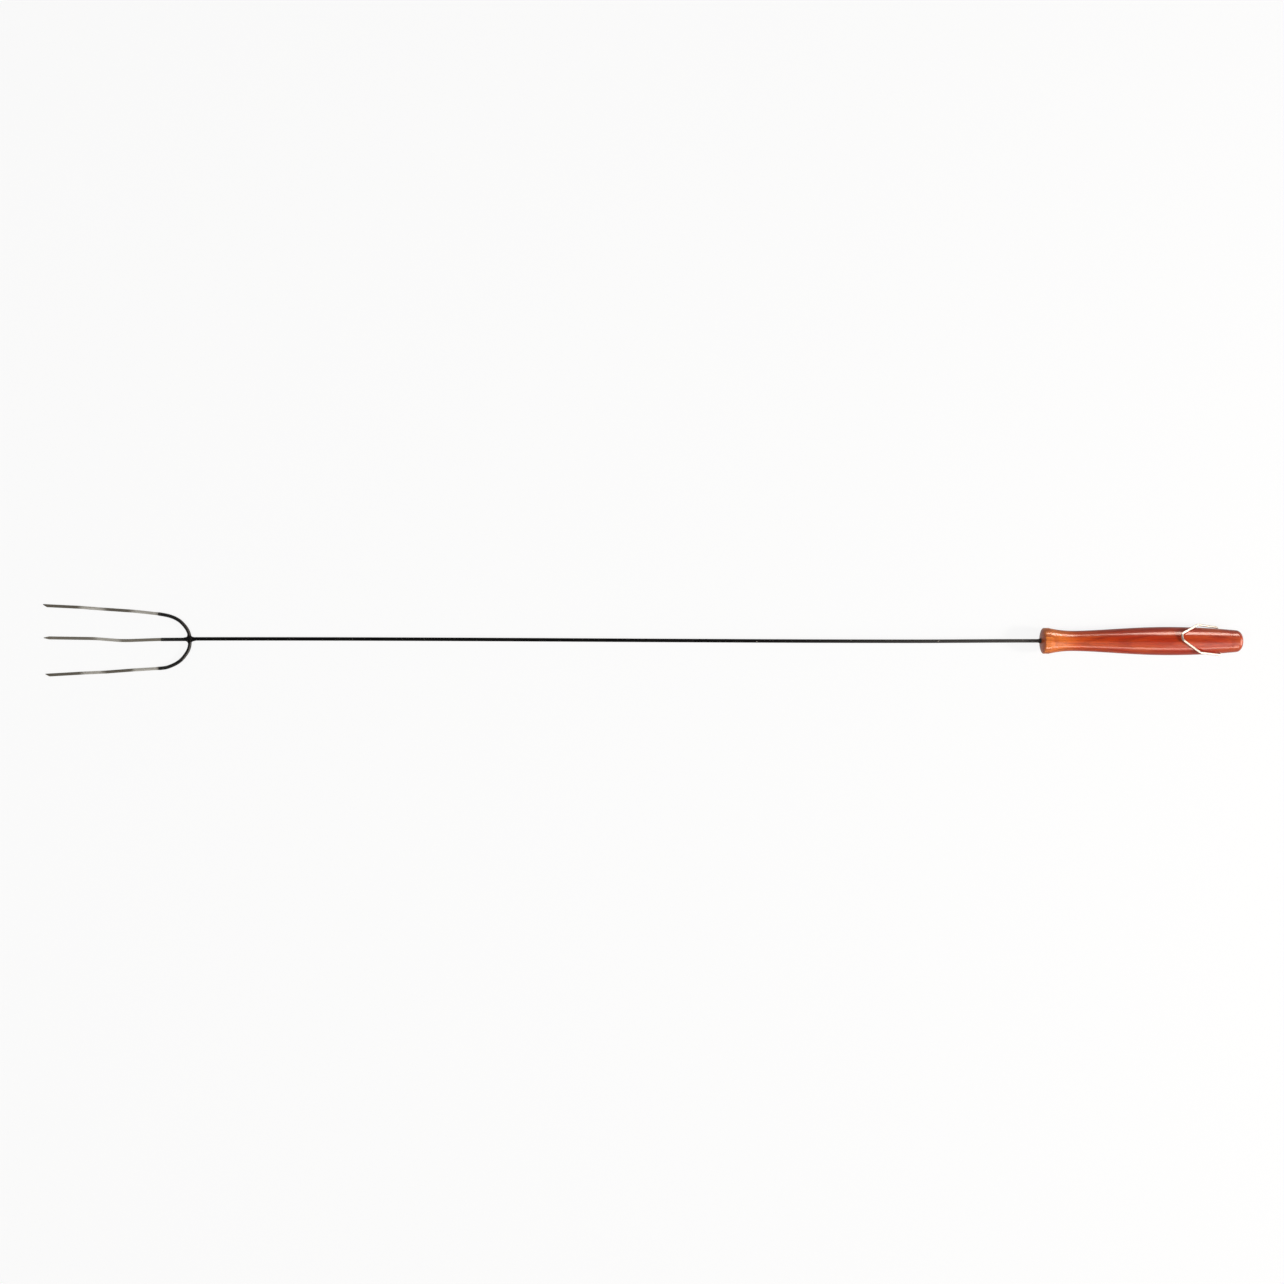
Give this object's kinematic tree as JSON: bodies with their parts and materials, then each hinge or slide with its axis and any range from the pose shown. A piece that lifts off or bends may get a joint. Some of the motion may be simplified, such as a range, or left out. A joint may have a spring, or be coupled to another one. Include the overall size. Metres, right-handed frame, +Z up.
{
  "type": "roasting fork",
  "caption": "Long-handled roasting fork: thin steel rod with welded wire tines, turned wooden handle and a wire hanging bail that swings over the handle's end.",
  "frame": {"origin": "centre of the fork's bounding box, on the table that it lies on", "axes": "+X from the tine tips towards the butt of the handle, +Y across the tines, +Z up from the table; the rod leans down towards the tips by 0.65 degrees because the fork rests on the lip of its handle and on its tine tips"},
  "size_m": [1.1044, 0.067, 0.0292],
  "materials": {
    "black_paint": "satin black paint on steel rod",
    "tine_steel": "bare steel wire, black paint at its base",
    "weld_paint": "black paint over weld metal",
    "lacquered_wood": "glossy red-orange clear finish on turned wood",
    "plated_wire": "bright plating"
  },
  "bodies": {
    "fork": {"shaft": "black_paint", "outer_tines": "tine_steel", "centre_tine": "tine_steel", "weld_bead": "weld_paint", "handle": "lacquered_wood"},
    "bail": {"hanging_bail": "plated_wire"}
  },
  "joints": [
    {"name": "bail_swing", "type": "hinge", "parent": "fork", "child": "bail", "pos_m": [0.53124, 0.0012, 0.01372], "axis": [0.0031, 0.9622, -0.2723], "range_deg": [0, 317.1]}
  ]
}
